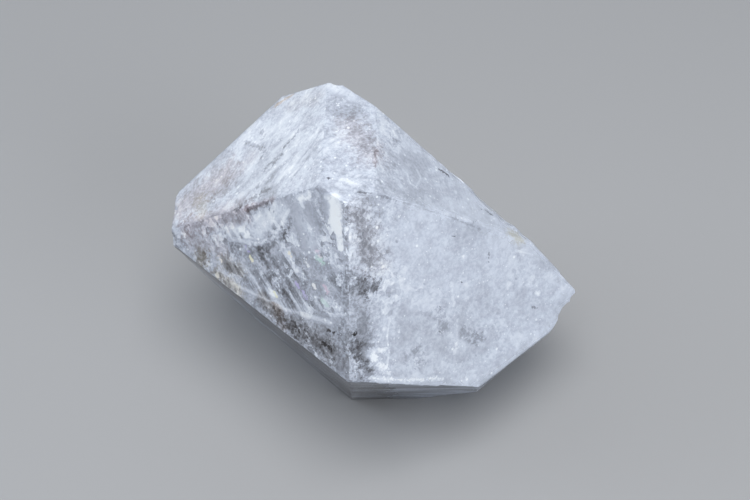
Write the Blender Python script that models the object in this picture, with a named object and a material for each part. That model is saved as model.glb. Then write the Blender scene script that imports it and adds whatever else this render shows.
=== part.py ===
"""A Herkimer diamond: one clear to milky quartz crystal with a point at both ends.

The crystal lies on its side, so its long axis runs along X. It is a block cut by the planes of its
natural faces: six prism faces round the long axis and six point faces at each end. Growth ledges,
a worn rim and a few chips are cut into it afterwards. Sizes are in metres, +Z is up.
"""
import math

import bmesh
import bpy
from mathutils import Matrix, Vector

BLOCK_SIZE = 0.16        # the block that the faces are cut from
POINT_ANGLE = 51.8       # degrees between the long axis and the normal of a point face of quartz
EDGE_WEAR = 0.0004       # width of the worn rim along every edge
WELD = 0.00002           # corners closer than this are one corner
SNAP = 0.000001          # a corner this near to a cutting plane lies on it

# The sides of the crystal as angles about the long axis, in degrees, from +Y over the top.
SIDE_ANGLES = {
    "back_top": 30.0,
    "top": 90.0,
    "front_top": 150.0,
    "front_low": 210.0,
    "bottom": 270.0,
    "back_low": 330.0,
}

# Each face has its distance from the crystal's centre. Real faces are a few degrees off the ideal
# angles, so each also has a lean towards the right end and a turn about the long axis, in degrees.
PRISM_FACES = {
    "back_top": (0.0302, 0.0, 1.0),
    "top": (0.0357, 2.2, -0.5),
    "front_top": (0.0370, 0.0, -0.8),
    "front_low": (0.0335, 1.7, 1.2),
    "bottom": (0.0390, 0.0, 0.0),
    "back_low": (0.0412, 0.0, 1.0),
}
RIGHT_POINT_FACES = {
    "back_top": (0.0203, -0.5, 1.4),
    "top": (0.0289, 0.6, -0.7),
    "front_top": (0.0289, -3.7, 0.0),
    "front_low": (0.0404, 0.7, 0.7),
    "bottom": (0.0360, 4.0, 1.7),
    "back_low": (0.0433, 0.0, 2.0),
}
LEFT_POINT_FACES = {
    "back_top": (0.0356, 0.0, -0.5),
    "top": (0.0337, -1.3, -0.7),
    "front_top": (0.0318, 0.6, 0.0),
    "front_low": (0.0290, -0.6, 0.0),
    "bottom": (0.0362, 0.4, -0.9),
    "back_low": (0.0302, 2.8, 2.2),
}

# The left point is broken off along a rough, nearly upright break.
BREAK_DISTANCE = 0.0434
BREAK_NORMAL = Vector((-0.997, -0.02, -0.07))

# Growth ledges: end and side of the face, direction of the lowered part in the face's own plane
# (degrees from the line that runs round the crystal), place of the step along that direction from
# the point of the face nearest to the crystal's centre, and depth of the step.
LEDGES = (
    ("left", "front_low", 341.0, -0.0130, 0.00030),
    ("left", "front_low", 343.0, -0.0100, 0.00055),
    ("prism", "front_low", 0.0, -0.0100, 0.00030),
    ("prism", "front_low", 2.0, 0.0040, 0.00060),
    ("right", "front_low", 14.0, 0.0005, 0.00030),
    ("right", "back_top", 8.0, 0.0170, 0.00035),
    ("right", "back_top", 120.0, 0.0180, 0.00045),
    ("right", "back_top", 240.0, 0.0310, 0.00030),
    ("right", "bottom", 3.0, 0.0180, 0.00040),
    ("right", "bottom", 184.0, 0.0150, 0.00035),
    ("left", "back_low", 95.0, 0.0180, 0.00045),
    ("left", "back_low", 210.0, 0.0240, 0.00035),
    ("left", "back_low", 330.0, 0.0140, 0.00040),
)

# Shell-shaped chips: a point on the rim, the outward direction there, the radius of the shell, how
# flat it is (1 is round) and how deep it bites.
CHIPS = (
    ((-0.0440, 0.0026, 0.0074), (-0.8, 0.0, 0.6), 0.0018, 0.9, 0.0008),
    ((-0.0438, -0.0040, 0.0060), (-0.8, -0.6, 0.1), 0.0022, 0.7, 0.0006),
    ((-0.0442, 0.0081, 0.0072), (-0.9, 0.3, 0.3), 0.0040, 0.6, 0.0006),
    ((-0.0432, -0.0020, -0.0040), (-0.8, -0.5, -0.3), 0.0040, 0.6, 0.0008),
    ((-0.0391, 0.0023, -0.0155), (-0.8, 0.0, -0.6), 0.0042, 0.6, 0.0009),
    ((0.0463, -0.0077, -0.0068), (1.0, 0.1, 0.2), 0.0030, 0.5, 0.0006),
    ((0.0436, -0.0113, -0.0094), (0.75, -0.35, -0.55), 0.0034, 0.7, 0.0010),
    ((0.0454, -0.0089, -0.0077), (0.7, -0.3, -0.7), 0.0016, 0.8, 0.0005),
    ((0.0256, -0.0032, 0.0165), (0.6, 0.4, 0.6), 0.0062, 0.4, 0.0008),
    ((0.0291, -0.0046, 0.0136), (0.6, 0.4, 0.6), 0.0034, 0.6, 0.0009),
    ((0.0334, -0.0064, 0.0102), (0.6, 0.3, 0.6), 0.0014, 0.8, 0.0006),
    ((-0.0038, -0.0412, 0.0031), (-0.1, -1.0, -0.3), 0.0020, 0.6, 0.0004),
    ((-0.0052, -0.0240, -0.0252), (-0.5, -0.7, -0.5), 0.0034, 0.5, 0.0006),
    ((0.0236, -0.0262, -0.0200), (0.5, -0.7, -0.5), 0.0030, 0.5, 0.0006),
    ((0.0000, 0.0364, -0.0105), (0.0, 1.0, -0.1), 0.0050, 0.5, 0.0009),
    ((-0.0189, 0.0307, 0.0076), (-0.4, 0.9, 0.3), 0.0040, 0.5, 0.0008),
    ((0.0211, 0.0284, -0.0286), (0.5, 0.7, -0.5), 0.0044, 0.6, 0.0010),
    ((-0.0060, 0.0136, 0.0358), (-0.1, 0.7, 0.7), 0.0026, 0.5, 0.0005),
)
CHIP_FACETS = 3          # subdivisions of the sphere that cuts a chip


def side_direction(side, turn=0.0):
    """Unit vector from the long axis towards a side of the crystal."""
    angle = math.radians(SIDE_ANGLES[side] + turn)
    return Vector((0.0, math.cos(angle), math.sin(angle)))


def face_normal(end, side, lean, turn):
    """Outward normal of a face. The end is left, prism or right."""
    steepness = {"left": POINT_ANGLE - 90.0, "prism": 0.0, "right": 90.0 - POINT_ANGLE}[end]
    rise = math.radians(steepness + lean)
    return side_direction(side, turn) * math.cos(rise) + Vector((math.sin(rise), 0.0, 0.0))


def crystal_faces():
    """All natural faces as {(end, side): (normal, distance)}."""
    faces = {}
    tables = (("prism", PRISM_FACES), ("right", RIGHT_POINT_FACES), ("left", LEFT_POINT_FACES))
    for end, table in tables:
        for side, (distance, lean, turn) in table.items():
            faces[end, side] = (face_normal(end, side, lean, turn), distance)
    return faces


def cut_by_plane(mesh, normal, distance):
    """Cut away what lies outside a plane and close the cut with one flat face."""
    geometry = mesh.verts[:] + mesh.edges[:] + mesh.faces[:]
    bmesh.ops.bisect_plane(
        mesh, geom=geometry, plane_co=normal * distance, plane_no=normal, clear_outer=True, dist=SNAP
    )
    rim = [edge for edge in mesh.edges if edge.is_boundary]
    if rim:
        bmesh.ops.contextual_create(mesh, geom=rim)


def wear_edges(mesh):
    """Cut one narrow plane along every edge of the convex crystal, so that no face loses its
    flatness."""
    mesh.normal_update()
    planes = []
    for edge in mesh.edges:
        first, second = (face.normal.copy() for face in edge.link_faces)
        drop = EDGE_WEAR / 2 * math.tan(first.angle(second) / 2)
        normal = (first + second).normalized()
        planes.append((normal, normal.dot(edge.verts[0].co) - drop))
    for normal, distance in planes:
        cut_by_plane(mesh, normal, distance)


def new_object(name, mesh_data, collection):
    obj = bpy.data.objects.new(name, mesh_data)
    collection.objects.link(obj)
    return obj


def make_crystal(faces, collection):
    """The block cut by every natural face and by the break at the left point."""
    mesh = bmesh.new()
    bmesh.ops.create_cube(mesh, size=BLOCK_SIZE)
    for normal, distance in faces.values():
        cut_by_plane(mesh, normal, distance)
    cut_by_plane(mesh, BREAK_NORMAL.normalized(), BREAK_DISTANCE)
    wear_edges(mesh)
    bmesh.ops.remove_doubles(mesh, verts=mesh.verts, dist=WELD)
    bmesh.ops.recalc_face_normals(mesh, faces=mesh.faces)
    data = bpy.data.meshes.new("crystal")
    mesh.to_mesh(data)
    mesh.free()
    return new_object("crystal", data, collection)


def make_ledge_cutter(name, normal, distance, direction, offset, depth, collection):
    """A slab that lowers the part of a face beyond a straight line by the depth of a step."""
    around = Vector((1.0, 0.0, 0.0)).cross(normal).normalized()
    along = around.cross(normal).normalized()
    angle = math.radians(direction)
    outward = around * math.cos(angle) + along * math.sin(angle)
    sideways = normal.cross(outward)
    size = BLOCK_SIZE
    centre = normal * (distance - depth + size / 2) + outward * (offset + size / 2)
    mesh = bmesh.new()
    bmesh.ops.create_cube(mesh, size=size)
    axes = Matrix((outward, sideways, normal)).transposed().to_4x4()
    bmesh.ops.transform(mesh, matrix=Matrix.Translation(centre) @ axes, verts=mesh.verts)
    data = bpy.data.meshes.new(name)
    mesh.to_mesh(data)
    mesh.free()
    return new_object(name, data, collection)


def make_chip_cutter(name, point, outward, radius, flatness, depth, collection):
    """A ball flattened along the outward direction, which leaves a shell-shaped chip."""
    direction = Vector(outward).normalized()
    centre = Vector(point) + direction * (radius * flatness - depth)
    mesh = bmesh.new()
    bmesh.ops.create_icosphere(mesh, subdivisions=CHIP_FACETS, radius=radius)
    squash = Matrix.Scale(flatness, 4, direction)
    bmesh.ops.transform(mesh, matrix=Matrix.Translation(centre) @ squash, verts=mesh.verts)
    data = bpy.data.meshes.new(name)
    mesh.to_mesh(data)
    mesh.free()
    return new_object(name, data, collection)


def cut_with(obj, cutter):
    cutter.hide_render = True
    cutter.display_type = "WIRE"
    modifier = obj.modifiers.new(cutter.name, "BOOLEAN")
    modifier.operation = "DIFFERENCE"
    modifier.solver = "EXACT"
    modifier.object = cutter


def rock_crystal():
    """Clear quartz with a faint cool haze."""
    material = bpy.data.materials.new("rock crystal")
    material.use_nodes = True
    shader = material.node_tree.nodes["Principled BSDF"]
    shader.inputs["Base Color"].default_value = (0.78, 0.81, 0.87, 1.0)
    shader.inputs["Roughness"].default_value = 0.12
    shader.inputs["Metallic"].default_value = 0.0
    shader.inputs["IOR"].default_value = 1.544
    shader.inputs["Transmission Weight"].default_value = 0.8
    return material


def stand_on_ground(obj, cutters):
    """Move the crystal and its cutters so that it rests on z = 0, centred over the origin."""
    bpy.context.view_layer.update()
    shown = obj.evaluated_get(bpy.context.evaluated_depsgraph_get())
    corners = [shown.matrix_world @ Vector(corner) for corner in shown.bound_box]
    low = Vector(tuple(min(corner[axis] for corner in corners) for axis in range(3)))
    high = Vector(tuple(max(corner[axis] for corner in corners) for axis in range(3)))
    shift = Vector((-(low.x + high.x) / 2, -(low.y + high.y) / 2, -low.z))
    for item in [obj] + cutters:
        item.location += shift
    bpy.context.view_layer.update()


def main():
    for obj in list(bpy.data.objects):
        bpy.data.objects.remove(obj, do_unlink=True)
    specimen = bpy.data.collections.new("herkimer_diamond")
    tools = bpy.data.collections.new("cutters")
    for collection in (specimen, tools):
        bpy.context.scene.collection.children.link(collection)

    faces = crystal_faces()
    crystal = make_crystal(faces, specimen)
    crystal.data.materials.append(rock_crystal())

    cutters = []
    for number, (end, side, direction, offset, depth) in enumerate(LEDGES, 1):
        normal, distance = faces[end, side]
        name = f"ledge {number}"
        cutters.append(make_ledge_cutter(name, normal, distance, direction, offset, depth, tools))
    for number, chip in enumerate(CHIPS, 1):
        cutters.append(make_chip_cutter(f"chip {number}", *chip, tools))

    for cutter in cutters:
        cut_with(crystal, cutter)
    stand_on_ground(crystal, cutters)


main()
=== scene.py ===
import math
import random

import bpy
from mathutils import Matrix, Vector, kdtree, noise


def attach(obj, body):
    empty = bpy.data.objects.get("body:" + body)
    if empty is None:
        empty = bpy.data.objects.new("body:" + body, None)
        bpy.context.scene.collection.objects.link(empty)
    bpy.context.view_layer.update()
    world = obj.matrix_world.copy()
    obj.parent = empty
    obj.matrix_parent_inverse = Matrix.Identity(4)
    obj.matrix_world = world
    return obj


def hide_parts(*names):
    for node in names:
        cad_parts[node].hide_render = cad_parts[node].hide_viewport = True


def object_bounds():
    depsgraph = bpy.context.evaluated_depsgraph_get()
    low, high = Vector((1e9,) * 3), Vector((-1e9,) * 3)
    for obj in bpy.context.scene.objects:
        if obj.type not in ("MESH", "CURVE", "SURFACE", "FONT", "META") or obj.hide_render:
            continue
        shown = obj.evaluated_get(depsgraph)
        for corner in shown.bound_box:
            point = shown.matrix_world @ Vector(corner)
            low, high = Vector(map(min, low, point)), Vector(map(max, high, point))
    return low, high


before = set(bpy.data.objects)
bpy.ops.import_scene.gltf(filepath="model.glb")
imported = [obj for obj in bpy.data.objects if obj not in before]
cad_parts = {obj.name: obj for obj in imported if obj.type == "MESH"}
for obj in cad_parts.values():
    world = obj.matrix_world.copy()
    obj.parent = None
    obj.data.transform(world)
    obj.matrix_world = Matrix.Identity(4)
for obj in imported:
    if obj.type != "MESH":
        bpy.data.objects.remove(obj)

cadLow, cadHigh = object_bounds()
mm = 0.001
centre = Vector((-0.84, 2.42, 39.0)) * mm  # where the crystal's long axis and its faces are measured from
print("frame loaded, crystal box", [round(v / mm, 1) for v in cadHigh - cadLow])


# shared helpers

def selectOnly(piece):
    bpy.ops.object.select_all(action="DESELECT")
    piece.select_set(True)
    bpy.context.view_layer.objects.active = piece


def editAll(piece):
    selectOnly(piece)
    bpy.ops.object.mode_set(mode="EDIT")
    bpy.ops.mesh.select_all(action="SELECT")


def leaveEdit():
    bpy.ops.object.mode_set(mode="OBJECT")


def finishPlace(piece):  # the place goes into the mesh, the object stays at the origin
    selectOnly(piece)
    bpy.ops.object.transform_apply(location=True, rotation=True, scale=True)


def fromCentre(point):  # a point in mm from the crystal's centre, in the frame's metres
    return centre + Vector(point) * mm


def addNode(tree, kind, inputs=None, **settings):
    node = tree.nodes.new(kind)
    for name, value in settings.items():
        setattr(node, name, value)
    for name, value in (inputs or {}).items():
        socket = node.inputs[name]
        if isinstance(value, bpy.types.NodeSocket):
            tree.links.new(value, socket)
        else:
            socket.default_value = value
    return node


def math2(tree, operation, first, second=0.0, clamp=False):
    inputs = {0: first, 1: second}
    return addNode(tree, "ShaderNodeMath", inputs, operation=operation, use_clamp=clamp).outputs[0]


def vectorMath(tree, operation, inputs, label="Vector"):
    return addNode(tree, "ShaderNodeVectorMath", inputs, operation=operation).outputs[label]


def blendColour(tree, factor, first, second, mode="MIX"):
    node = addNode(tree, "ShaderNodeMix", data_type="RGBA", blend_type=mode)
    for index, value in ((0, factor), (6, first), (7, second)):
        if isinstance(value, bpy.types.NodeSocket):
            tree.links.new(value, node.inputs[index])
        else:
            node.inputs[index].default_value = value
    return node.outputs[2]


def stretch(tree, value, low, high, toLow=0.0, toHigh=1.0):
    inputs = {"Value": value, "From Min": low, "From Max": high, "To Min": toLow, "To Max": toHigh}
    return addNode(tree, "ShaderNodeMapRange", inputs, interpolation_type="SMOOTHSTEP").outputs[0]


def newGroup(name, inputs, outputs):
    group = bpy.data.node_groups.new(name, "ShaderNodeTree")
    for label, kind, value in inputs:
        socket = group.interface.new_socket(label, in_out="INPUT", socket_type=kind)
        if value is not None:
            socket.default_value = value
    for label, kind in outputs:
        group.interface.new_socket(label, in_out="OUTPUT", socket_type=kind)
    return group, group.nodes.new("NodeGroupInput"), group.nodes.new("NodeGroupOutput")


def useGroup(tree, group, **values):
    node = tree.nodes.new("ShaderNodeGroup")
    node.node_tree = group
    for label, value in values.items():
        socket = node.inputs[label]
        if isinstance(value, bpy.types.NodeSocket):
            tree.links.new(value, socket)
        else:
            socket.default_value = value
    return node


# effects that several materials share

def makeCloudGroup():  # soft to sharp patches of haze
    group, start, end = newGroup(
        "cloudPatches",
        [("Vector", "NodeSocketVector", None), ("Scale", "NodeSocketFloat", 50.0),
         ("Detail", "NodeSocketFloat", 6.0), ("Warp", "NodeSocketFloat", 0.6),
         ("Low", "NodeSocketFloat", 0.35), ("High", "NodeSocketFloat", 0.65)],
        [("Mask", "NodeSocketFloat")])
    patches = addNode(group, "ShaderNodeTexNoise", {
        "Vector": start.outputs["Vector"], "Scale": start.outputs["Scale"], "Detail": start.outputs["Detail"],
        "Roughness": 0.62, "Distortion": start.outputs["Warp"]})
    mask = stretch(group, patches.outputs["Fac"], start.outputs["Low"], start.outputs["High"])
    group.links.new(mask, end.inputs["Mask"])
    return group


def makeWispGroup():  # thin bright lines, as healed cracks and threads of tiny bubbles make
    group, start, end = newGroup(
        "wisps",
        [("Vector", "NodeSocketVector", None), ("Scale", "NodeSocketFloat", 80.0),
         ("Width", "NodeSocketFloat", 0.03), ("Warp", "NodeSocketFloat", 1.0)],
        [("Mask", "NodeSocketFloat")])
    field = addNode(group, "ShaderNodeTexNoise", {
        "Vector": start.outputs["Vector"], "Scale": start.outputs["Scale"], "Detail": 5.0,
        "Roughness": 0.6, "Distortion": start.outputs["Warp"]})
    away = math2(group, "ABSOLUTE", math2(group, "SUBTRACT", field.outputs["Fac"], 0.5))
    mask = stretch(group, away, 0.0, start.outputs["Width"], 1.0, 0.0)
    group.links.new(mask, end.inputs["Mask"])
    return group


strokeNudge = Vector((0.02, 0.02, 0.02)) * mm  # what was laid down before pushes a stroke aside by this
strokeRim = 1.15                               # a stroke has faded out at this many radii


def makeStrokeGroup():  # a ragged stroke between two places in the crystal
    group, start, end = newGroup(
        "stroke",
        [("Vector", "NodeSocketVector", None), ("From", "NodeSocketVector", None),
         ("To", "NodeSocketVector", None), ("Radius", "NodeSocketFloat", 0.002),
         ("Crisp", "NodeSocketFloat", 0.3), ("Ragged", "NodeSocketFloat", 0.5),
         ("Edge", "NodeSocketFloat", 0.0), ("Before", "NodeSocketFloat", 0.0)],
        [("Mask", "NodeSocketFloat")])
    ends = start.outputs
    nudge = vectorMath(group, "SCALE", {0: strokeNudge, "Scale": ends["Before"]})
    span = vectorMath(group, "SUBTRACT", {0: ends["To"], 1: ends["From"]})
    here = vectorMath(group, "ADD", {0: ends["Vector"], 1: nudge})
    reach = vectorMath(group, "SUBTRACT", {0: here, 1: ends["From"]})
    share = math2(group, "DIVIDE", vectorMath(group, "DOT_PRODUCT", {0: reach, 1: span}, "Value"),
                  vectorMath(group, "DOT_PRODUCT", {0: span, 1: span}, "Value"), clamp=True)
    foot = vectorMath(group, "SCALE", {0: span, "Scale": share})
    away = vectorMath(group, "LENGTH", {0: vectorMath(group, "SUBTRACT", {0: reach, 1: foot})}, "Value")
    ratio = math2(group, "ADD", math2(group, "DIVIDE", away, ends["Radius"]),
                  math2(group, "MULTIPLY", ends["Edge"], ends["Ragged"]))
    mask = stretch(group, ratio, ends["Crisp"], strokeRim, 1.0, 0.0)
    group.links.new(mask, end.inputs["Mask"])
    return group


def makeFleckGroup():  # scattered small grains, each of its own size and brightness
    group, start, end = newGroup(
        "flecks",
        [("Vector", "NodeSocketVector", None), ("Scale", "NodeSocketFloat", 800.0),
         ("Size", "NodeSocketFloat", 0.3), ("Share", "NodeSocketFloat", 0.2)],
        [("Mask", "NodeSocketFloat")])
    cells = addNode(group, "ShaderNodeTexVoronoi", {
        "Vector": start.outputs["Vector"], "Scale": start.outputs["Scale"]})
    draw = addNode(group, "ShaderNodeSeparateColor", {0: cells.outputs["Color"]})
    kept = math2(group, "LESS_THAN", draw.outputs[0], start.outputs["Share"])
    radius = math2(group, "MULTIPLY", start.outputs["Size"],
                   math2(group, "ADD", math2(group, "MULTIPLY", draw.outputs[1], 0.8), 0.3))
    grain = stretch(group, math2(group, "DIVIDE", cells.outputs["Distance"], radius), 0.5, 1.0, 1.0, 0.0)
    power = math2(group, "ADD", math2(group, "MULTIPLY", draw.outputs[2], 0.7), 0.3)
    mask = math2(group, "MULTIPLY", math2(group, "MULTIPLY", grain, kept), power)
    group.links.new(mask, end.inputs["Mask"])
    return group


def makeShardGroup():  # small angular fragments, lighter and darker, as a net of inner cracks shows them
    group, start, end = newGroup(
        "shards",
        [("Vector", "NodeSocketVector", None), ("Scale", "NodeSocketFloat", 600.0),
         ("Warp", "NodeSocketFloat", 0.001)],
        [("Tone", "NodeSocketFloat"), ("Crack", "NodeSocketFloat")])
    place = start.outputs["Vector"]
    bend = addNode(group, "ShaderNodeTexNoise", {"Vector": place, "Scale": 420.0, "Detail": 3.0})
    offset = vectorMath(group, "SUBTRACT", {0: bend.outputs["Color"], 1: (0.5, 0.5, 0.5)})
    offset = vectorMath(group, "SCALE", {0: offset, "Scale": start.outputs["Warp"]})
    bent = vectorMath(group, "ADD", {0: place, 1: offset})
    cells = addNode(group, "ShaderNodeTexVoronoi", {"Vector": bent, "Scale": start.outputs["Scale"]})
    draw = addNode(group, "ShaderNodeSeparateColor", {0: cells.outputs["Color"]})
    edges = addNode(group, "ShaderNodeTexVoronoi", {"Vector": bent, "Scale": start.outputs["Scale"]},
                    feature="DISTANCE_TO_EDGE")
    crack = stretch(group, edges.outputs["Distance"], 0.0, 0.09, 1.0, 0.0)
    group.links.new(math2(group, "SUBTRACT", draw.outputs[0], 0.5), end.inputs["Tone"])
    group.links.new(crack, end.inputs["Crack"])
    return group


cloudPatches = makeCloudGroup()
wisps = makeWispGroup()
stroke = makeStrokeGroup()
flecks = makeFleckGroup()
shards = makeShardGroup()


# the crystal's skin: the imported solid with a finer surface

skinSpec = {
    "cell": 2.4 * mm,          # pitch of the grid that the flat faces are cut into
    "rimReach": 0.5 * mm,      # how far the wear reaches from an edge
    "rimDepth": 0.10 * mm,     # how much the worn edges wander
    "faceWave": 0.012 * mm,    # how far the flat faces are from true
    "waveScale": 90.0,
    "rimScale": 900.0,
    "rimShape": 1.5,
    "biteLevel": 0.55,         # the higher, the fewer and deeper the bites in the rims
    "flatBelow": 0.3 * mm,     # the resting face stays flat up to this height
    "gridStart": 0.53,         # in cells, so that no cut runs along a face of the solid
    "flatAngle": 0.3,          # facets that turn less than this are one flat face
    "sharpAngle": 14.0,
    "shadeAngle": 18.0,
    "sameWay": 0.9995,         # normals closer than this belong to one natural face
    "smallestFace": 36e-6,     # in square metres
    "mergeFirst": 0.002 * mm,
    "mergeLast": 0.004 * mm,
}


def naturalPlanes(node):  # the crystal's flat faces as (normal, distance from the frame's origin)
    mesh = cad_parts[node].data
    groups = []
    for face in sorted(mesh.polygons, key=lambda f: -f.area):
        for found in groups:
            if face.normal.dot(found["normal"]) > skinSpec["sameWay"]:
                break
        else:
            found = {"normal": face.normal.copy(), "area": 0.0, "sum": Vector(), "reach": 0.0}
            groups.append(found)
        found["area"] += face.area
        found["sum"] += face.normal * face.area
        found["reach"] += face.normal.dot(face.center) * face.area
    big = sorted((g for g in groups if g["area"] > skinSpec["smallestFace"]), key=lambda g: -g["area"])
    return [(g["sum"].normalized(), g["reach"] / g["area"]) for g in big]


planes = naturalPlanes("crystal")
print("natural faces found:", len(planes))


def makeSkin():
    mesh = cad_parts["crystal"].data.copy()
    skin = bpy.data.objects.new("crystal_faces", mesh)
    bpy.context.scene.collection.objects.link(skin)
    mesh.materials.clear()
    editAll(skin)
    bpy.ops.mesh.customdata_custom_splitnormals_clear()
    bpy.ops.mesh.remove_doubles(threshold=skinSpec["mergeFirst"])
    bpy.ops.mesh.dissolve_limited(angle_limit=math.radians(skinSpec["flatAngle"]))
    for axis in range(3):
        direction = Vector((0, 0, 0))
        direction[axis] = 1.0
        place = cadLow[axis] + skinSpec["cell"] * skinSpec["gridStart"]
        while place < cadHigh[axis]:
            bpy.ops.mesh.select_all(action="SELECT")
            bpy.ops.mesh.bisect(plane_co=direction * place, plane_no=direction)
            place += skinSpec["cell"]
    bpy.ops.mesh.select_all(action="SELECT")
    bpy.ops.mesh.quads_convert_to_tris()
    bpy.ops.mesh.subdivide(number_cuts=1)
    bpy.ops.mesh.quads_convert_to_tris()
    bpy.ops.mesh.remove_doubles(threshold=skinSpec["mergeLast"])
    leaveEdit()
    return skin


def rimDistances(skin):  # every corner's distance to the nearest real edge of the crystal
    mesh = skin.data
    facesOf = {}
    for face in mesh.polygons:
        for key in face.edge_keys:
            facesOf.setdefault(key, []).append(face.normal)
    limit = math.cos(math.radians(skinSpec["sharpAngle"]))
    points = []
    for (a, b), normals in facesOf.items():
        if len(normals) == 2 and normals[0].dot(normals[1]) < limit:
            start, end = mesh.vertices[a].co, mesh.vertices[b].co
            points += [start.copy(), (start + end) / 2, end.copy()]
    tree = kdtree.KDTree(len(points))
    for index, point in enumerate(points):
        tree.insert(point, index)
    tree.balance()
    return [tree.find(v.co)[2] for v in mesh.vertices]


def naturalFace(x, y, z):  # the number of the natural face that looks most nearly that way
    way = Vector((x, y, z)).normalized()
    return max(range(len(planes)), key=lambda i: way.dot(planes[i][0]))


# tone is how light the face looks, partly the stone's own tone and partly painted shade: the bands that face
# down are painted darkest; along and streaks say which way its threads run and how strong they are,
# and shards is how much of a net of small cracks shows in it
faceLooks = {
    "topLeft": {"way": (-0.64, 0, 0.77), "tone": 0.755, "along": (0.708, 0.659, 0.251),
                "streaks": 0.06, "shards": 0.35},
    "topMiddle": {"way": (0.04, 0, 1.0), "tone": 0.74, "along": (0.708, 0.659, 0.251),
                  "streaks": 0.06, "shards": 0.2},
    "topRight": {"way": (0.63, 0, 0.78), "tone": 0.74, "along": (0.2, 0.9, 0.3),
                 "streaks": 0.15, "shards": 0.45},
    "frontLeft": {"way": (-0.61, -0.69, 0.40), "tone": 0.69, "along": (0.506, -0.742, -0.438),
                  "streaks": 0.1, "shards": 1.0},
    "frontRight": {"way": (0.57, -0.71, 0.41), "tone": 0.76, "along": (0.0, 0.5, -0.87),
                   "streaks": 0.3, "shards": 0.5},
    "bandLeft": {"way": (-0.62, -0.68, -0.39), "tone": 0.42, "along": (0.739, -0.673, -0.024),
                 "streaks": 3.0, "shards": 0.6},
    "bandMiddle": {"way": (0.03, -0.87, -0.5), "tone": 0.46, "along": (1.0, 0.0, 0.0),
                   "streaks": 2.6, "shards": 0.4},
    "bandRight": {"way": (0.63, -0.67, -0.39), "tone": 0.7, "along": (0.755, 0.655, 0.096),
                  "streaks": 1.2, "shards": 0.2},
    "leftBreak": {"way": (-1.0, 0.0, -0.05), "tone": 0.80, "along": (0.0, 0.3, 1.0),
                  "streaks": 0.3, "shards": 0.3},
}
hiddenLook = {"tone": 0.78, "along": (0.0, 0.6, 0.8), "streaks": 0.3, "shards": 0.4}


def wearSkin(skin):
    mesh = skin.data
    distances = rimDistances(skin)
    rim = mesh.attributes.new("rimWear", "FLOAT", "POINT")
    moves = []
    spec = skinSpec
    for vertex, away in zip(mesh.vertices, distances):
        wear = max(0.0, 1.0 - away / spec["rimReach"]) ** spec["rimShape"]
        wave = noise.noise(vertex.co * spec["waveScale"]) * spec["faceWave"] * (1 - wear)
        bite = (noise.noise(vertex.co * spec["rimScale"]) - spec["biteLevel"]) * spec["rimDepth"] * wear
        if vertex.co.z < spec["flatBelow"]:
            bite = wave = 0.0
        moves.append(vertex.normal * (wave + min(bite, 0.0)))
        rim.data[vertex.index].value = wear
    for vertex, move in zip(mesh.vertices, moves):
        vertex.co += move
    bpy.ops.object.shade_smooth_by_angle(angle=math.radians(spec["shadeAngle"]))


def nameFaces(skin):  # each polygon is told which natural face it lies on and how that face looks
    mesh = skin.data
    looks = {naturalFace(*look["way"]): look for look in faceLooks.values()}
    marks = {"faceSeed": "FLOAT", "faceToneAndShade": "FLOAT", "threads": "FLOAT_VECTOR", "threadAmount": "FLOAT",
             "shardAmount": "FLOAT"}
    for name, kind in marks.items():
        mesh.attributes.new(name, kind, "FACE")
    marks = {name: mesh.attributes[name].data for name in marks}
    for face in mesh.polygons:
        best = max(range(len(planes)), key=lambda i: face.normal.dot(planes[i][0]))
        look = looks.get(best, hiddenLook)
        marks["faceSeed"][face.index].value = best
        marks["faceToneAndShade"][face.index].value = look["tone"]
        marks["threads"][face.index].vector = Vector(look["along"]).normalized()
        marks["threadAmount"][face.index].value = look["streaks"]
        marks["shardAmount"][face.index].value = look["shards"]


skin = makeSkin()
wearSkin(skin)
nameFaces(skin)
print("crystal skin:", len(skin.data.polygons), "faces")
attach(skin, "root")
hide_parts("crystal")


# the camera stands where the photo's did, so a place picked in the photo can be carried to the crystal

cameraSpec = {
    "lookAt": Vector((0.0, 1.4, 37.8)) * mm,
    "azimuth": 2.15,
    "elevation": 48.33,
    "roll": -1.2,
    "distance": 0.3375,
    "lens": 72.0,
    "sensor": 36.0,
    "photo": (750, 500),   # the photo's width and height in pixels
    "middle": (372, 243),  # the crystal's middle in the photo
    "steps": 200,          # a pick just off the crystal moves to its middle in so many steps
}


def cameraMatrix():
    spec = cameraSpec
    azimuth, elevation = math.radians(spec["azimuth"]), math.radians(spec["elevation"])
    level = math.cos(elevation)
    back = Vector((math.sin(azimuth) * level, -math.cos(azimuth) * level, math.sin(elevation)))
    turn = back.to_track_quat("Z", "Y").to_matrix() @ Matrix.Rotation(math.radians(spec["roll"]), 3, "Z")
    return Matrix.Translation(spec["lookAt"] + back * spec["distance"]) @ turn.to_4x4()


cameraPlace = cameraMatrix()


def onFace(pixel):  # the place on the crystal's natural faces that the photo shows at a pixel
    wide, high = cameraSpec["photo"]
    focus = cameraSpec["lens"] / cameraSpec["sensor"] * wide
    eye = cameraPlace.translation
    pick, middle = Vector(pixel), Vector(cameraSpec["middle"])
    for step in range(cameraSpec["steps"]):
        seen = pick.lerp(middle, step / cameraSpec["steps"])
        way = cameraPlace.to_3x3() @ Vector(((seen.x - wide / 2) / focus, (high / 2 - seen.y) / focus, -1.0))
        slopes = [(normal.dot(way), distance - normal.dot(eye)) for normal, distance in planes]
        enter = max(gap / slope for slope, gap in slopes if slope < 0)
        leave = min(gap / slope for slope, gap in slopes if slope > 0)
        if enter < leave:
            break
    return eye + way * enter


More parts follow.
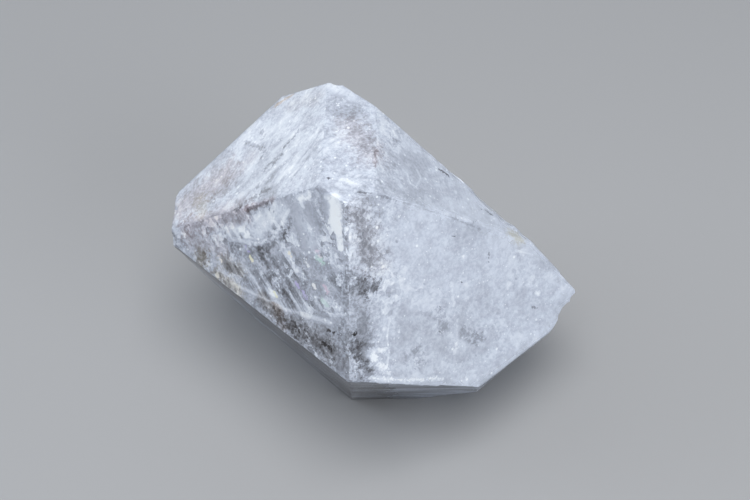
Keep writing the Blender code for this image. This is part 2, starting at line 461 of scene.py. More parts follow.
quartzSpec = {
    "toneStops": [  # from dark smoky places to bright veils
        (0.00, (0.006, 0.006, 0.008, 1.0)),
        (0.20, (0.040, 0.038, 0.042, 1.0)),
        (0.40, (0.138, 0.144, 0.166, 1.0)),
        (0.60, (0.320, 0.348, 0.412, 1.0)),
        (0.80, (0.620, 0.675, 0.785, 1.0)),
        (1.00, (0.900, 0.950, 1.000, 1.0)),
    ],
    "milkEdge": (2.5 * mm, 6.5 * mm),    # the milky half begins between these, along the long axis
    "milkWander": 14.0 * mm,
    "milkScale": 90.0,
    "milkDetail": 4.0,
    "milkLeast": 0.60,                   # the milky half's faces are at least as light as this
    "faceShift": (0.031, 0.017, 0.023),  # moves each next face's patterns, so that no two are alike
    "netRange": (-0.2, 0.4),             # the net of small cracks comes and goes with the haze between these
    "drawOut": 0.90,                     # how far patterns are drawn out along the threads, 1 without end
    "ior": 1.544,
    "transmission": 0.38,
    "roughness": 0.42,
    "roughWeights": {"milky": 0.20, "rim": 0.08, "bright": -0.60},
    "raggedness": {"mottle": 0.6, "fine": 0.6},
    "bump": {"Strength": 0.12, "Distance": 0.1 * mm},
}

# patterns in the stone: on says whether one lies plainly on the face or is drawn out along its threads
patchSpec = {
    "cloud": {"on": "plain", "scale": 48.0, "detail": 3.0, "warp": 0.4, "low": 0.36, "high": 0.64},
    "haze": {"on": "plain", "scale": 150.0, "detail": 8.0, "warp": 0.4, "low": 0.36, "high": 0.64},
    "mottle": {"on": "plain", "scale": 560.0, "detail": 6.0, "warp": 0.4, "low": 0.36, "high": 0.64},
    "fine": {"on": "plain", "scale": 1500.0, "detail": 3.0, "warp": 0.4, "low": 0.36, "high": 0.64},
    "threads": {"on": "drawn", "scale": 360.0, "detail": 4.0, "warp": 0.2, "low": 0.36, "high": 0.64},
    "hairs": {"on": "drawn", "scale": 1500.0, "detail": 4.0, "warp": 0.1, "low": 0.42, "high": 0.66},
}
fleckSpec = {
    "bright": {"on": "plain", "scale": 900.0, "size": 0.36, "share": 0.16},
    "tiny": {"on": "plain", "scale": 1700.0, "size": 0.36, "share": 0.14},
    "bigger": {"on": "plain", "scale": 420.0, "size": 0.24, "share": 0.10},
    "dark": {"on": "drawn", "scale": 700.0, "size": 0.26, "share": 0.05},
}
shardSpec = {
    "broken": {"on": "plain", "scale": 720.0, "warp": 2.4 * mm},
    "splinters": {"on": "drawn", "scale": 900.0, "warp": 1.2 * mm},
}
wispSpec = {"Scale": 150.0, "Width": 0.014, "Warp": 0.6}

# how much each pattern lifts or lowers the tone of the clear half and of the milky half
clearWeights = {
    "cloud": 0.08, "haze": 0.10, "mottle": 0.07, "fine": 0.09, "bright": 0.34, "bigger": 0.14, "tiny": 0.30,
    "dark": -0.20, "wisp": 0.05, "threads": 0.20, "hairs": 0.05, "broken": 0.30, "splinters": 0.24,
    "cracks": 0.08,
}
milkWeights = {
    "cloud": 0.06, "haze": 0.05, "mottle": 0.05, "fine": 0.05, "bright": 0.22, "bigger": 0.07, "tiny": 0.24,
    "dark": -0.14, "threads": 0.12, "broken": 0.16, "splinters": 0.14,
}

# light and dark strokes seen on the stone, listed one by one: start and end in the photo's pixels,
# radius in mm, crispness, raggedness and how much it lifts or lowers the tone; the window reflection,
# the strip highlight and bottomGlints, a highlight along the bottom band's top edge, are painted light
strokes = {
    "fogPatch": ((230, 229), (258, 233), 1.9, 0.15, 0.8, 0.16),
    "fogPatchRight": ((258, 224), (284, 211), 1.9, 0.35, 0.9, 0.15),
    "fogRimLow": ((234, 239), (256, 244), 0.55, 0.5, 0.5, 0.12),
    "fogRimMiddle": ((256, 244), (272, 239), 0.55, 0.5, 0.5, 0.14),
    "fogRimUp": ((272, 239), (289, 210), 0.5, 0.5, 0.5, 0.12),
    "darkUnderFog": ((236, 253), (262, 252), 1.8, 0.0, 0.9, -0.12),
    "darkBesideFog": ((264, 247), (284, 232), 1.9, 0.0, 0.9, -0.15),
    "darkAboveFog": ((284, 232), (290, 219), 1.3, 0.0, 0.9, -0.11),
    "darkMottle": ((266, 262), (286, 284), 2.4, 0.0, 0.9, -0.12),
    "darkMottleRight": ((297, 264), (303, 292), 1.8, 0.0, 0.9, -0.09),
    "paleMiddle": ((303, 215), (312, 242), 3.2, 0.1, 0.9, 0.1),
    # painted reflection of a window near the apex: a large bright patch and a small one to its left
    "paintedWindowReflection": ((335, 203), (336.5, 224), 1.8, 0.55, 0.45, 0.3),
    "paintedReflectionLow": ((337, 222), (340.5, 247), 0.9, 0.7, 0.25, 0.3),
    "paintedReflectionSoft": ((329, 202), (333, 222), 1.8, 0.2, 0.6, 0.12),
    "paintedReflectionTop": ((326, 196), (336, 194.5), 0.8, 0.3, 0.5, 0.16),
    "smallPaintedReflection": ((298, 197), (309, 195), 0.9, 0.4, 0.7, 0.22),
    "smallPaintedReflectionTip": ((300, 199), (303, 206), 0.6, 0.4, 0.7, 0.18),
    "ridgeLeft": ((232, 283), (286, 309), 0.5, 0.1, 1.4, 0.16),
    "ridgeRight": ((286, 309), (331, 323), 0.7, 0.1, 1.3, 0.2),
    "darkBetweenRays": ((252, 270), (288, 296), 1.2, 0.0, 0.9, -0.09),
    "goldDark": ((203, 258), (216, 281), 2.1, 0.1, 1.0, -0.12),
    "goldDarkLow": ((218, 276), (236, 289), 1.6, 0.0, 0.9, -0.09),
    "brownDark": ((276, 311), (282, 324), 1.4, 0.0, 0.9, -0.12),
    "underRidge": ((262, 303), (292, 326), 1.8, 0.0, 0.9, -0.09),
    "darkLow": ((300, 334), (332, 352), 2.9, 0.0, 0.9, -0.12),
    "blackDashes": ((329, 331), (355, 334), 0.4, 0.2, 2.2, -0.34),
    "blackSpot": ((322, 342), (331, 348), 0.5, 0.2, 2.0, -0.3),
    "darkGapMiddle": ((346, 281), (374, 288), 2.4, 0.0, 0.9, -0.16),
    "darkGapRight": ((369, 292), (378, 284), 1.5, 0.0, 0.9, -0.11),
    "darkGapLow": ((345, 336), (364, 352), 2.2, 0.0, 0.9, -0.12),
    "darkGapCorner": ((357, 352), (369, 374), 2.0, 0.0, 0.9, -0.14),
    "crackleOne": ((363, 351), (376, 360), 0.7, 0.1, 2.6, 0.22),
    "crackleTwo": ((374, 360), (389, 373), 0.7, 0.1, 2.6, 0.22),
    "crackleThree": ((372, 352), (388, 349), 0.5, 0.1, 2.6, 0.18),
    "arcUp": ((390, 319), (387, 336), 0.3, 0.05, 1.8, 0.13),
    "arcMiddle": ((387, 336), (389, 353), 0.3, 0.05, 1.8, 0.13),
    "arcLow": ((389, 353), (386, 369), 0.3, 0.05, 1.8, 0.13),
    "bottomGlints": ((369, 378), (405, 380), 0.3, 0.0, 3.2, 0.3),
    "bottomGlintsRight": ((405, 380), (442, 378), 0.3, 0.0, 3.2, 0.18),
    "leftShade": ((186, 204), (226, 178), 5.5, 0.0, 0.4, -0.07),
    "pinkShade": ((188, 228), (232, 216), 3.6, 0.0, 0.4, -0.05),
    "lowShade": ((300, 334), (352, 366), 5.0, 0.0, 0.3, -0.13),
    "clearShade": ((356, 288), (366, 366), 3.6, 0.0, 0.4, -0.13),
    "bandShade": ((262, 306), (300, 330), 3.0, 0.0, 0.4, -0.12),
    "upperClear": ((362, 215), (368, 262), 3.2, 0.0, 0.4, -0.07),
    "blueGrey": ((383, 322), (384, 342), 2.4, 0.1, 0.8, 0.03),
    "dullMiddle": ((360, 222), (374, 262), 3.6, 0.05, 0.8, -0.09),
    "wispUp": ((452, 284), (454, 305), 0.4, 0.0, 2.4, 0.12),
    "wispLow": ((457, 322), (456, 352), 0.55, 0.0, 2.4, 0.13),
    "wispSide": ((449, 336), (463, 346), 1.2, 0.0, 1.8, 0.08),
    "starRight": ((537, 293), (538, 293.5), 0.7, 0.3, 0.8, 0.2),
    "speckOne": ((452, 236), (455, 236.5), 0.14, 0.5, 1.0, -0.22),
    "speckRow": ((489, 253), (489, 262), 0.14, 0.3, 2.6, -0.22),
    "speckTwo": ((461, 281.5), (462, 282.5), 0.14, 0.5, 1.0, -0.32),
    "speckThree": ((481, 209), (482, 209.5), 0.14, 0.5, 1.0, -0.32),
    "pitRow": ((485, 210), (494, 216), 0.2, 0.4, 2.2, -0.22),
    "speckFour": ((533, 307), (537, 308), 0.25, 0.3, 1.6, -0.18),
    "speckFive": ((439, 306), (441, 307), 0.14, 0.5, 1.2, -0.21),
    "speckSix": ((439, 331), (442, 333), 0.14, 0.5, 1.2, -0.21),
    "speckSeven": ((414, 368.5), (416, 369), 0.14, 0.5, 1.2, -0.32),
    "shadeOne": ((462, 334), (479, 339), 1.5, 0.05, 1.5, -0.09),
    "shadeTwo": ((440, 309), (445, 331), 1.3, 0.05, 1.5, -0.08),
    "shadeThree": ((416, 352), (420, 360), 1.4, 0.05, 1.5, -0.09),
    # painted highlight on the thin strip between the two front faces
    "stripHighlight": ((349.5, 195), (350.5, 243), 0.35, 0.3, 0.8, 0.22),
    "silkGapOne": ((236, 209), (270, 188), 0.75, 0.1, 1.5, -0.16),
    "silkGapTwo": ((248, 210), (272, 200), 0.6, 0.1, 1.5, -0.14),
    "silkGapThree": ((257, 187), (273, 165), 0.7, 0.1, 1.5, -0.14),
    "silkGapFour": ((264, 169), (281, 154), 0.7, 0.1, 1.5, -0.13),
    "silkGapFive": ((284, 147), (298, 132), 0.6, 0.1, 1.5, -0.17),
    "silkGapSix": ((261, 130), (264, 138), 0.7, 0.1, 1.5, -0.16),
    "silkGapSeven": ((246, 141), (266, 151), 0.6, 0.2, 1.0, -0.14),
    "silkOne": ((240, 197), (288, 157), 1.0, 0.1, 1.0, 0.13),
    "silkTwo": ((270, 186), (332, 140), 0.9, 0.1, 1.0, 0.13),
    "silkThree": ((292, 175), (338, 142), 0.5, 0.3, 1.0, 0.13),
    "silkFour": ((274, 151), (302, 126), 0.9, 0.1, 1.0, 0.12),
    "silkFive": ((258, 142), (288, 116), 1.3, 0.1, 1.0, 0.09),
    "insideLine": ((367, 115), (300, 178), 0.2, 0.5, 0.4, -0.1),
    "topBright": ((326, 84), (351, 96), 1.9, 0.2, 0.7, 0.1),
    "warmPatchDark": ((354, 130), (371, 150), 2.9, 0.05, 0.7, -0.07),
    "brownStreakDark": ((376.5, 150), (375.5, 166), 0.35, 0.2, 1.4, -0.12),
    "darkDot": ((327.5, 178), (329, 178.5), 0.4, 0.5, 0.8, -0.35),
    "splash": ((342, 180), (357, 184), 0.7, 0.2, 1.6, 0.2),
    "splashLeft": ((338, 184), (345, 188), 0.6, 0.1, 1.6, 0.14),
    "dashes": ((357, 192.5), (373, 193), 0.2, 0.2, 2.0, -0.18),
    "blobOne": ((386.5, 121.5), (388, 123), 0.5, 0.1, 1.4, 0.16),
    "blobTwo": ((393, 131), (397, 137), 0.5, 0.1, 1.4, 0.18),
    "ringOne": ((407, 173), (410, 183), 0.3, 0.0, 1.6, 0.1),
    "ringTwo": ((410, 183), (416, 187), 0.3, 0.0, 1.6, 0.1),
    "ringThree": ((416, 187), (421, 178), 0.3, 0.0, 1.6, 0.1),
    "ringFour": ((421, 178), (417, 170), 0.3, 0.0, 1.6, 0.1),
    "blackPits": ((439, 169), (448, 175), 0.26, 0.4, 2.4, -0.3),
    "seamOne": ((380, 195.5), (401, 201.5), 0.22, 0.1, 1.4, -0.08),
    "seamTwo": ((401, 201.5), (426, 209.5), 0.22, 0.1, 1.4, -0.08),
    "seamThree": ((426, 209.5), (452, 217.5), 0.22, 0.1, 1.4, -0.08),
    "seamFour": ((452, 217.5), (481, 229.5), 0.22, 0.1, 1.4, -0.08),
    "curvedRim": ((516, 250.5), (531, 254), 0.28, 0.1, 1.4, 0.1),
    "frostEdge": ((177, 205), (176, 246), 1.3, 0.3, 0.8, 0.12),
    "blueFlashOne": ((238, 302), (262, 327), 1.0, 0.2, 1.8, 0.34),
    "bandDark": ((277, 342), (343, 389), 1.8, 0.1, 0.8, -0.12),
    "bandLight": ((244, 300), (330, 362), 0.35, 0.3, 1.6, 0.2),
    "bandLineOne": ((364, 388), (430, 391), 0.25, 0.0, 1.8, 0.22),
    "bandLineTwo": ((380, 395), (415, 394), 0.3, 0.0, 1.6, -0.2),
    "bandLineThree": ((353, 393), (382, 397), 0.3, 0.0, 1.6, 0.16),
    "bandLineFour": ((262, 323), (300, 353), 0.3, 0.0, 2.0, 0.26),
    "bandLineFive": ((300, 353), (346, 388), 0.25, 0.0, 2.0, 0.24),
    "bandLineSix": ((288, 350), (338, 385), 0.35, 0.0, 1.6, -0.18),
    "bandMilky": ((428, 391), (474, 394), 2.2, 0.1, 0.6, 0.2),
    "bandSmoky": ((352, 392), (402, 398), 1.4, 0.1, 0.9, -0.06),
}

# tinted places: start and end in the photo's pixels, radius in mm, tint and strength
tints = {
    "goldLeft": ((203, 258), (216, 281), 2.8, (0.86, 0.73, 0.52), 0.75),
    "goldLow": ((218, 275), (238, 291), 2.4, (0.84, 0.73, 0.56), 0.7),
    "goldRight": ((224, 262), (240, 270), 2.4, (0.93, 0.84, 0.7), 0.6),
    "brownLow": ((276, 308), (283, 326), 1.7, (0.72, 0.58, 0.48), 0.6),
    "brownBesideLow": ((262, 298), (276, 312), 2.2, (0.86, 0.78, 0.68), 0.7),
    "brownLowRight": ((292, 322), (334, 352), 4.2, (0.93, 0.9, 0.87), 0.7),
    "pinkLeft": ((184, 206), (222, 176), 6.0, (0.93, 0.83, 0.79), 0.9),
    "pinkMiddle": ((222, 190), (250, 158), 3.5, (0.96, 0.9, 0.88), 0.7),
    "yellowBlob": ((199, 199), (203, 212), 2.6, (0.93, 0.86, 0.72), 0.7),
    "pinkBand": ((186, 226), (240, 210), 4.0, (0.91, 0.82, 0.8), 0.9),
    "pinkLow": ((190, 240), (222, 250), 3.0, (0.92, 0.85, 0.82), 0.7),
    "redStreak": ((246, 209), (272, 199), 1.0, (0.8, 0.66, 0.64), 0.7),
    "orangeRim": ((276, 105), (292, 95), 0.8, (0.95, 0.72, 0.5), 0.8),
    "topBeige": ((292, 104), (316, 98), 3.0, (0.95, 0.92, 0.89), 0.7),
    "warmPatch": ((352, 126), (371, 154), 4.4, (0.97, 0.9, 0.87), 0.85),
    "brownStreak": ((376.5, 150), (375.5, 166), 0.6, (0.88, 0.76, 0.72), 0.6),
    "yellowChip": ((511, 233), (521, 241), 1.6, (0.93, 0.86, 0.68), 0.8),
    "blueFlash": ((237, 300), (268, 332), 1.9, (0.8, 0.9, 1.0), 0.9),
    "brownBand": ((352, 398), (372, 402), 1.2, (0.85, 0.7, 0.55), 0.7),
    "warmDull": ((360, 218), (374, 262), 4.6, (0.96, 0.92, 0.89), 0.8),
}

# where the threads show more: start and end in the photo's pixels, radius in mm and how much more
threadPlaces = {
    "silkBand": ((242, 208), (332, 138), 6.0, 0.9),
    "silkHigh": ((262, 150), (300, 120), 3.5, 0.7),
    "rays": ((226, 268), (300, 308), 3.6, 1.9),
    "raysMiddle": ((262, 258), (294, 290), 3.2, 1.0),
    "cloudThreads": ((300, 110), (340, 100), 3.0, 0.4),
}

# painted glints of light, rainbow and white, off thin inner cracks: place in the photo's pixels, radius in
# mm, colour, strength
glints = {
    "green": ((319, 257), 0.68, (0.6, 0.85, 0.78), 0.6),
    "greenLow": ((323, 300), 0.62, (0.66, 0.85, 0.82), 0.55),
    "magenta": ((324, 286), 0.5, (0.85, 0.68, 0.82), 0.55),
    "magentaHigh": ((317, 251), 0.43, (0.84, 0.7, 0.84), 0.55),
    "violet": ((296, 283), 0.34, (0.6, 0.54, 0.92), 0.65),
    "violetLow": ((303, 293), 0.4, (0.62, 0.58, 0.95), 0.65),
    "blue": ((245.5, 247), 0.37, (0.48, 0.44, 0.85), 0.7),
    "yellow": ((250, 257), 0.31, (0.95, 0.93, 0.7), 0.8),
    "yellowMiddle": ((274, 292), 0.25, (0.9, 0.9, 0.62), 0.7),
    "yellowRight": ((289, 252), 0.31, (0.95, 0.9, 0.7), 0.7),
    "whiteMiddle": ((306, 262), 0.43, (0.92, 0.96, 1.0), 0.85),
    "whiteLow": ((313, 284), 0.31, (0.96, 0.98, 1.0), 0.85),
    "whiteLeft": ((219, 257), 0.31, (0.96, 0.97, 1.0), 0.85),
    "whiteTopLeft": ((202, 186), 0.37, (0.86, 0.92, 1.0), 0.8),
}
glintRun = Vector((0.6, -0.8, -0.5)) * mm  # each glint is a little longer than wide


def drawOut(tree, place, along, much):  # a place squeezed along a direction, which draws a pattern out there
    run = vectorMath(tree, "DOT_PRODUCT", {0: place, 1: along}, "Value")
    back = vectorMath(tree, "SCALE", {0: along, "Scale": math2(tree, "MULTIPLY", run, -much)})
    return vectorMath(tree, "ADD", {0: place, 1: back})


def addUp(tree, start, values, weights):  # start plus each value times its weight
    for name, weight in weights.items():
        start = math2(tree, "ADD", start, math2(tree, "MULTIPLY", values[name], weight))
    return start


def readMark(tree, name, socket="Fac"):
    return addNode(tree, "ShaderNodeAttribute", attribute_name=name).outputs[socket]


def findMilk(tree, place):  # 1 in the milky half and 0 in the clear one, with a wandering edge
    along = addNode(tree, "ShaderNodeSeparateXYZ", {0: place}).outputs["X"]
    wander = addNode(tree, "ShaderNodeTexNoise", {
        "Vector": place, "Scale": quartzSpec["milkScale"], "Detail": quartzSpec["milkDetail"]}).outputs["Fac"]
    shift = math2(tree, "MULTIPLY", math2(tree, "SUBTRACT", wander, 0.5), quartzSpec["milkWander"])
    return stretch(tree, math2(tree, "ADD", along, shift), *quartzSpec["milkEdge"])


def findPatterns(tree, place):  # every pattern's value at each place on the skin
    shift = vectorMath(tree, "SCALE", {0: quartzSpec["faceShift"], "Scale": readMark(tree, "faceSeed")})
    plain = vectorMath(tree, "ADD", {0: place, 1: shift})
    drawn = drawOut(tree, plain, readMark(tree, "threads", "Vector"), quartzSpec["drawOut"])
    where = {"plain": plain, "drawn": drawn}
    values = {}
    for name, spec in patchSpec.items():
        patch = useGroup(tree, cloudPatches, Vector=where[spec["on"]], Scale=spec["scale"],
                         Detail=spec["detail"], Warp=spec["warp"], Low=spec["low"], High=spec["high"])
        values[name] = math2(tree, "SUBTRACT", patch.outputs[0], 0.5)
    for name, spec in fleckSpec.items():
        values[name] = useGroup(tree, flecks, Vector=where[spec["on"]], Scale=spec["scale"],
                                Size=spec["size"], Share=spec["share"]).outputs[0]
    values["wisp"] = useGroup(tree, wisps, Vector=plain, **wispSpec).outputs[0]
    thick = stretch(tree, values["haze"], *quartzSpec["netRange"])
    net = math2(tree, "MULTIPLY", thick, readMark(tree, "shardAmount"))
    for name, spec in shardSpec.items():
        found = useGroup(tree, shards, Vector=where[spec["on"]], Scale=spec["scale"], Warp=spec["warp"])
        values[name] = math2(tree, "MULTIPLY", found.outputs["Tone"], net)
        if name == "broken":
            values["cracks"] = math2(tree, "MULTIPLY", found.outputs["Crack"], net)
    return values


def addThreads(tree, place, values):  # the threads are stronger on some faces and in some places
    amount = readMark(tree, "threadAmount")
    for start, finish, radius, more in threadPlaces.values():
        mask = useGroup(tree, stroke, Vector=place, From=onFace(start), To=onFace(finish), Radius=radius * mm,
                        Crisp=0.1, Ragged=0.0).outputs[0]
        amount = math2(tree, "ADD", amount, math2(tree, "MULTIPLY", mask, more))
    stronger = {name: math2(tree, "MULTIPLY", values[name], amount) for name in ("threads", "hairs")}
    return {**values, **stronger}


def addStrokes(tree, place, tone, ragged):
    for start, finish, radius, crisp, rough, change in strokes.values():
        mask = useGroup(tree, stroke, Vector=place, From=onFace(start), To=onFace(finish), Radius=radius * mm,
                        Crisp=crisp, Ragged=rough, Edge=ragged, Before=tone).outputs[0]
        tone = math2(tree, "ADD", tone, math2(tree, "MULTIPLY", mask, change))
    return tone


def colourTone(tree, tone):
    ramp = addNode(tree, "ShaderNodeValToRGB", {0: tone})
    stops = ramp.color_ramp.elements
    while len(stops) < len(quartzSpec["toneStops"]):
        stops.new(0.5)
    for stop, (position, colour) in zip(stops, quartzSpec["toneStops"]):
        stop.position = position
        stop.color = colour
    return ramp.outputs["Color"]


def addColours(tree, place, colour, ragged, tone):  # painted glints lie over the tone and tints stain it
    mask = tone
    for pick, radius, paint, strength in glints.values():
        spot = onFace(pick)
        mask = useGroup(tree, stroke, Vector=place, From=spot, To=spot + glintRun, Radius=radius * mm,
                        Crisp=0.4, Ragged=2.2, Edge=ragged, Before=mask).outputs[0]
        colour = blendColour(tree, math2(tree, "MULTIPLY", mask, strength), colour, paint + (1.0,))
    for start, finish, radius, paint, strength in tints.values():
        mask = useGroup(tree, stroke, Vector=place, From=onFace(start), To=onFace(finish), Radius=radius * mm,
                        Crisp=0.1, Ragged=0.8, Edge=ragged, Before=mask).outputs[0]
        share = math2(tree, "MULTIPLY", mask, strength)
        colour = blendColour(tree, share, colour, paint + (1.0,), "MULTIPLY")
    return colour


def makeQuartz():
    spec = quartzSpec
    material = bpy.data.materials.new("quartz")
    material.use_nodes = True
    tree = material.node_tree
    shader = tree.nodes["Principled BSDF"]
    place = addNode(tree, "ShaderNodeTexCoord").outputs["Object"]
    # each face's tone, partly its own and partly painted shade
    faceToneAndShade = readMark(tree, "faceToneAndShade")
    milky = findMilk(tree, place)
    patterns = findPatterns(tree, place)
    values = addThreads(tree, place, patterns)
    clearTone = addUp(tree, faceToneAndShade, values, clearWeights)
    milkTone = addUp(tree, math2(tree, "MAXIMUM", faceToneAndShade, spec["milkLeast"]), values, milkWeights)
    tone = addNode(tree, "ShaderNodeMix", {0: milky, 2: clearTone, 3: milkTone}, data_type="FLOAT").outputs[0]
    ragged = addUp(tree, 0.0, patterns, spec["raggedness"])
    tone = addStrokes(tree, place, tone, ragged)
    colour = addColours(tree, place, colourTone(tree, tone), ragged, tone)
    tree.links.new(colour, shader.inputs["Base Color"])

    bright = math2(tree, "MINIMUM", faceToneAndShade, spec["milkLeast"])  # the dull bands are frosted
    surface = {"milky": milky, "rim": readMark(tree, "rimWear"), "bright": bright}
    tree.links.new(addUp(tree, spec["roughness"], surface, spec["roughWeights"]), shader.inputs["Roughness"])
    relief = math2(tree, "ADD", patterns["threads"], patterns["mottle"])
    bumps = addNode(tree, "ShaderNodeBump", {"Height": relief, **spec["bump"]})
    tree.links.new(bumps.outputs["Normal"], shader.inputs["Normal"])
    shader.inputs["Metallic"].default_value = 0.0
    shader.inputs["IOR"].default_value = spec["ior"]
    shader.inputs["Transmission Weight"].default_value = spec["transmission"]
    return material


skin.data.materials.append(makeQuartz())


# veils inside the stone: healed cracks, thin sheets of tiny bubbles

inset = 0.5 * mm  # how far the inner sheets stay behind the faces


def clipInside(piece, keepOff=inset):
    editAll(piece)
    for normal, distance in planes:
        bpy.ops.mesh.select_all(action="SELECT")
        bpy.ops.mesh.bisect(plane_co=normal * (distance - keepOff), plane_no=normal, clear_outer=True)
    leaveEdit()


def addVeil(name, spec, draw):  # one curved sheet, clipped to the crystal
    bpy.ops.object.select_all(action="DESELECT")
    bpy.ops.mesh.primitive_grid_add(x_subdivisions=spec["cuts"], y_subdivisions=spec["cuts"], size=1.0)
    sheet = bpy.context.object
    sheet.name = name
    wide, tall = spec["size"]
    editAll(sheet)
    bpy.ops.transform.resize(value=(wide * mm, tall * mm, 1.0))
    leaveEdit()
    shift = Vector((draw.uniform(-1, 1), draw.uniform(-1, 1), draw.uniform(-1, 1)))
    for vertex in sheet.data.vertices:
        slow = noise.noise(vertex.co * 35.0 + shift * 9.0)
        quick = noise.noise(vertex.co * 160.0 + shift * 5.0)
        vertex.co.z += (slow * spec["bend"] + quick * spec["bend"] * 0.12) * mm
    facing = Vector(spec["facing"]).normalized()
    along = Vector(spec["along"])
    along = (along - facing * along.dot(facing)).normalized()
    turn = Matrix((along, facing.cross(along), facing)).transposed().to_4x4()
    sheet.matrix_world = Matrix.Translation(fromCentre(spec["place"])) @ turn
    finishPlace(sheet)
    clipInside(sheet)
    return sheet


def joinPieces(pieces, name):
    bpy.ops.object.select_all(action="DESELECT")
    for piece in pieces:
        piece.select_set(True)
    bpy.context.view_layer.objects.active = pieces[0]
    bpy.ops.object.join()
    joined = bpy.context.object
    joined.name = name
    joined.data.name = name
    return joined


veilSpec = {
    "count": 13,
    "reachX": (-34.0, 4.0),
    "reachY": (-20, 14),
    "reachZ": (-14, 22),
    "size": (22.0, 40.0),
    "bend": 5.0,
    "cuts": 30,
    "seed": 4,
}
silkSpec = {
    "count": 6,
    "place": (-20.0, 2.0, 21.0),
    "facing": (-0.45, 0.15, 0.88),
    "along": (0.708, 0.659, 0.251),
    "step": 2.2,               # from one sheet to the next
    "length": 44.0,
    "width": (20, 34),
    "bend": 2.5,
    "cuts": 34,
    "seed": 8,
}
milkSpec = {
    "facing": (0.57, -0.71, 0.41),
    "along": (0.0, 0.5, 0.87),
    "depths": (1.6, 4.2, 7.5, 11.5, 17.0, 24.0),
    "shift": (22.0, 8.0, 0.0),
    "size": (90.0, 70.0),
    "nearBend": 1.6,           # the sheets nearest the face are the flattest
    "farBend": 4.0,
    "nearDepth": 4.0,
    "cuts": 40,
    "startX": 4.0,             # the clouds end here, where the clear half begins
    "seed": 15,
}


def makeVeils():
    draw = random.Random(veilSpec["seed"])
    sheets = []
    for number in range(veilSpec["count"]):
        place = tuple(draw.uniform(*veilSpec[reach]) for reach in ("reachX", "reachY", "reachZ"))
        spec = {"place": place, "cuts": veilSpec["cuts"], "bend": veilSpec["bend"],
                "facing": (draw.uniform(-1, 1), draw.uniform(-1, 0.4), draw.uniform(-1, 1)),
                "along": (draw.uniform(-1, 1), draw.uniform(-1, 1), draw.uniform(-1, 1)),
                "size": (draw.uniform(*veilSpec["size"]), draw.uniform(*veilSpec["size"]))}
        sheets.append(addVeil("veil", spec, draw))
    return joinPieces(sheets, "inner_veils")


def makeSilk():
    draw = random.Random(silkSpec["seed"])
    sheets = []
    for number in range(silkSpec["count"]):
        lean = Vector((draw.uniform(-0.25, 0.25), draw.uniform(-0.25, 0.25), 0))
        facing = Vector(silkSpec["facing"]) + lean
        place = Vector(silkSpec["place"]) - facing * silkSpec["step"] * (number - 2)
        spec = {"place": place, "cuts": silkSpec["cuts"], "bend": silkSpec["bend"], "facing": facing,
                "along": silkSpec["along"], "size": (silkSpec["length"], draw.uniform(*silkSpec["width"]))}
        sheets.append(addVeil("silk", spec, draw))
    return joinPieces(sheets, "silky_veils")


def makeMilk():
    draw = random.Random(milkSpec["seed"])
    facing = Vector(milkSpec["facing"]).normalized()
    near = planes[naturalFace(*facing)]
    start = (near[1] - near[0].dot(centre)) / mm
    sheets = []
    for depth in milkSpec["depths"]:
        bend = milkSpec["nearBend"] if depth < milkSpec["nearDepth"] else milkSpec["farBend"]
        place = near[0] * (start - depth) + Vector(milkSpec["shift"])
        spec = {"place": place, "cuts": milkSpec["cuts"], "bend": bend, "facing": near[0],
                "along": milkSpec["along"], "size": milkSpec["size"]}
        sheets.append(addVeil("milk", spec, draw))
    piece = joinPieces(sheets, "milk_clouds")
    editAll(piece)
    end = fromCentre((milkSpec["startX"], 0, 0))
    bpy.ops.mesh.bisect(plane_co=end, plane_no=(-1, 0, 0), clear_outer=True)
    leaveEdit()
    return piece


paintSpec = {  # scale of the patches, where they start and are full, how strong they are
    "healedCracks": {"colour": (0.90, 0.91, 0.96, 1.0), "scale": 90.0, "patches": (0.48, 0.62),
                     "strength": 0.75},
    "silk": {"colour": (0.94, 0.96, 1.0, 1.0), "scale": 190.0, "patches": (0.46, 0.64), "strength": 0.85,
             "threads": silkSpec["along"]},
    "milk": {"colour": (0.80, 0.85, 0.93, 1.0), "scale": 40.0, "patches": (0.25, 0.75), "strength": 0.42},
}


def makeVeilPaint(name):
    spec = paintSpec[name]
    material = bpy.data.materials.new(name)
    material.use_nodes = True
    tree = material.node_tree
    shader = tree.nodes["Principled BSDF"]
    place = addNode(tree, "ShaderNodeTexCoord").outputs["Object"]
    if "threads" in spec:
        place = drawOut(tree, place, Vector(spec["threads"]).normalized(), 0.92)
    scale, (low, high) = spec["scale"], spec["patches"]

    def patches(size, detail, warp, low, high):
        return useGroup(tree, cloudPatches, Vector=place, Scale=scale * size, Detail=detail, Warp=warp,
                        Low=low, High=high).outputs[0]

    broad = patches(1.0, 6.0, 0.5, low, high)
    fine = patches(9.0, 5.0, 0.3, 0.35, 0.65)
    alpha = math2(tree, "MULTIPLY", broad, math2(tree, "ADD", math2(tree, "MULTIPLY", fine, 0.7), 0.3))
    tree.links.new(math2(tree, "MULTIPLY", alpha, spec["strength"]), shader.inputs["Alpha"])
    shade = patches(2.3, 4.0, 0.2, 0.3, 0.7)
    dull = [part * 0.72 for part in spec["colour"][:3]] + [1.0]
    tree.links.new(blendColour(tree, shade, dull, spec["colour"]), shader.inputs["Base Color"])
    shader.inputs["Roughness"].default_value = 0.6
    shader.inputs["Metallic"].default_value = 0.0
    return material


innerPieces = {
    "veils": (makeVeils(), makeVeilPaint("healedCracks")),
    "silk": (makeSilk(), makeVeilPaint("silk")),
    "milk": (makeMilk(), makeVeilPaint("milk")),
}
for piece, paint in innerPieces.values():
    piece.data.materials.clear()
    piece.data.materials.append(paint)
    selectOnly(piece)
    bpy.ops.object.shade_smooth()
    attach(piece, "root")
print("veils, silk and milk clouds:", [len(piece.data.polygons) for piece, paint in innerPieces.values()])


# floor and light

stageSpec = {
    "floorSize": 4.0,
    "floorColour": (0.255, 0.26, 0.27, 1.0),
    "skyColour": (0.86, 0.92, 1.0, 1.0),
    "skyStrength": 0.44,
}

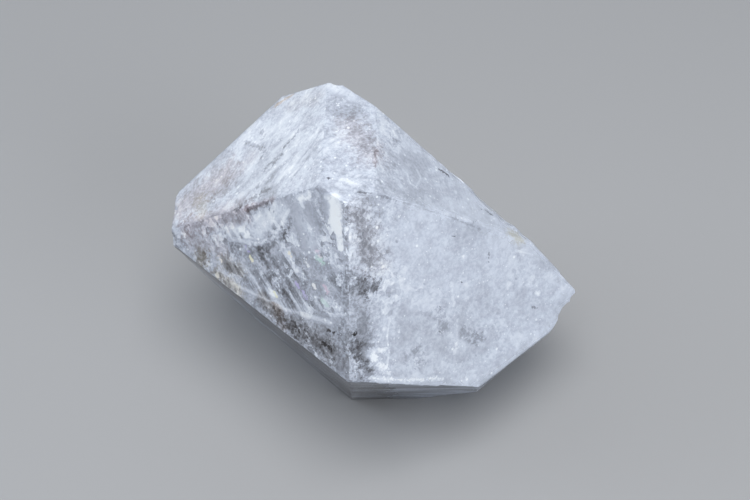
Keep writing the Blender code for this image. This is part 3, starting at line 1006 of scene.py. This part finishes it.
lampSpec = {
    "key": {"place": (0.02, -0.25, 0.80), "size": 0.50, "power": 7.9, "colour": (1.0, 0.99, 0.97)},
    "front": {"place": (0.55, -0.60, 0.45), "size": 0.50, "power": 3.0, "colour": (0.95, 0.97, 1.0)},
    "window": {"place": (-0.60, 0.72, 0.24), "size": 0.50, "power": 0.8, "colour": (0.92, 0.96, 1.0)},
    "fill": {"place": (-0.75, 0.10, 0.40), "size": 0.50, "power": 1.8, "colour": (0.86, 0.92, 1.0)},
}


def makeFloor():
    bpy.ops.object.select_all(action="DESELECT")
    bpy.ops.mesh.primitive_plane_add(size=stageSpec["floorSize"], location=(0, 0, 0))
    floor = bpy.context.object
    floor.name = "floor"
    material = bpy.data.materials.new("floor")
    material.use_nodes = True
    shader = material.node_tree.nodes["Principled BSDF"]
    shader.inputs["Base Color"].default_value = stageSpec["floorColour"]
    shader.inputs["Roughness"].default_value = 0.85
    floor.data.materials.append(material)


def makeSky():
    world = bpy.data.worlds.new("studio")
    bpy.context.scene.world = world
    world.use_nodes = True
    sky = world.node_tree.nodes["Background"]
    sky.inputs["Color"].default_value = stageSpec["skyColour"]
    sky.inputs["Strength"].default_value = stageSpec["skyStrength"]


def makeLamp(name, spec):
    light = bpy.data.lights.new(name, "AREA")
    light.shape = "SQUARE"
    light.size = spec["size"]
    light.energy = spec["power"]
    light.color = spec["colour"]
    lamp = bpy.data.objects.new(name, light)
    lamp.location = spec["place"]
    aim = centre - lamp.location
    lamp.rotation_euler = aim.to_track_quat("-Z", "Y").to_euler()
    bpy.context.scene.collection.objects.link(lamp)


def makeCamera():
    camera = bpy.data.objects.new("camera", bpy.data.cameras.new("camera"))
    camera.data.lens = cameraSpec["lens"]
    camera.data.sensor_width = cameraSpec["sensor"]
    camera.data.clip_start = 0.01
    camera.matrix_world = cameraPlace
    bpy.context.scene.collection.objects.link(camera)
    bpy.context.scene.camera = camera


bpy.context.scene.view_settings.view_transform = "Standard"
makeFloor()
makeSky()
for lampName, lamp in lampSpec.items():
    makeLamp(lampName, lamp)
makeCamera()
print("stage, lamps and camera placed")
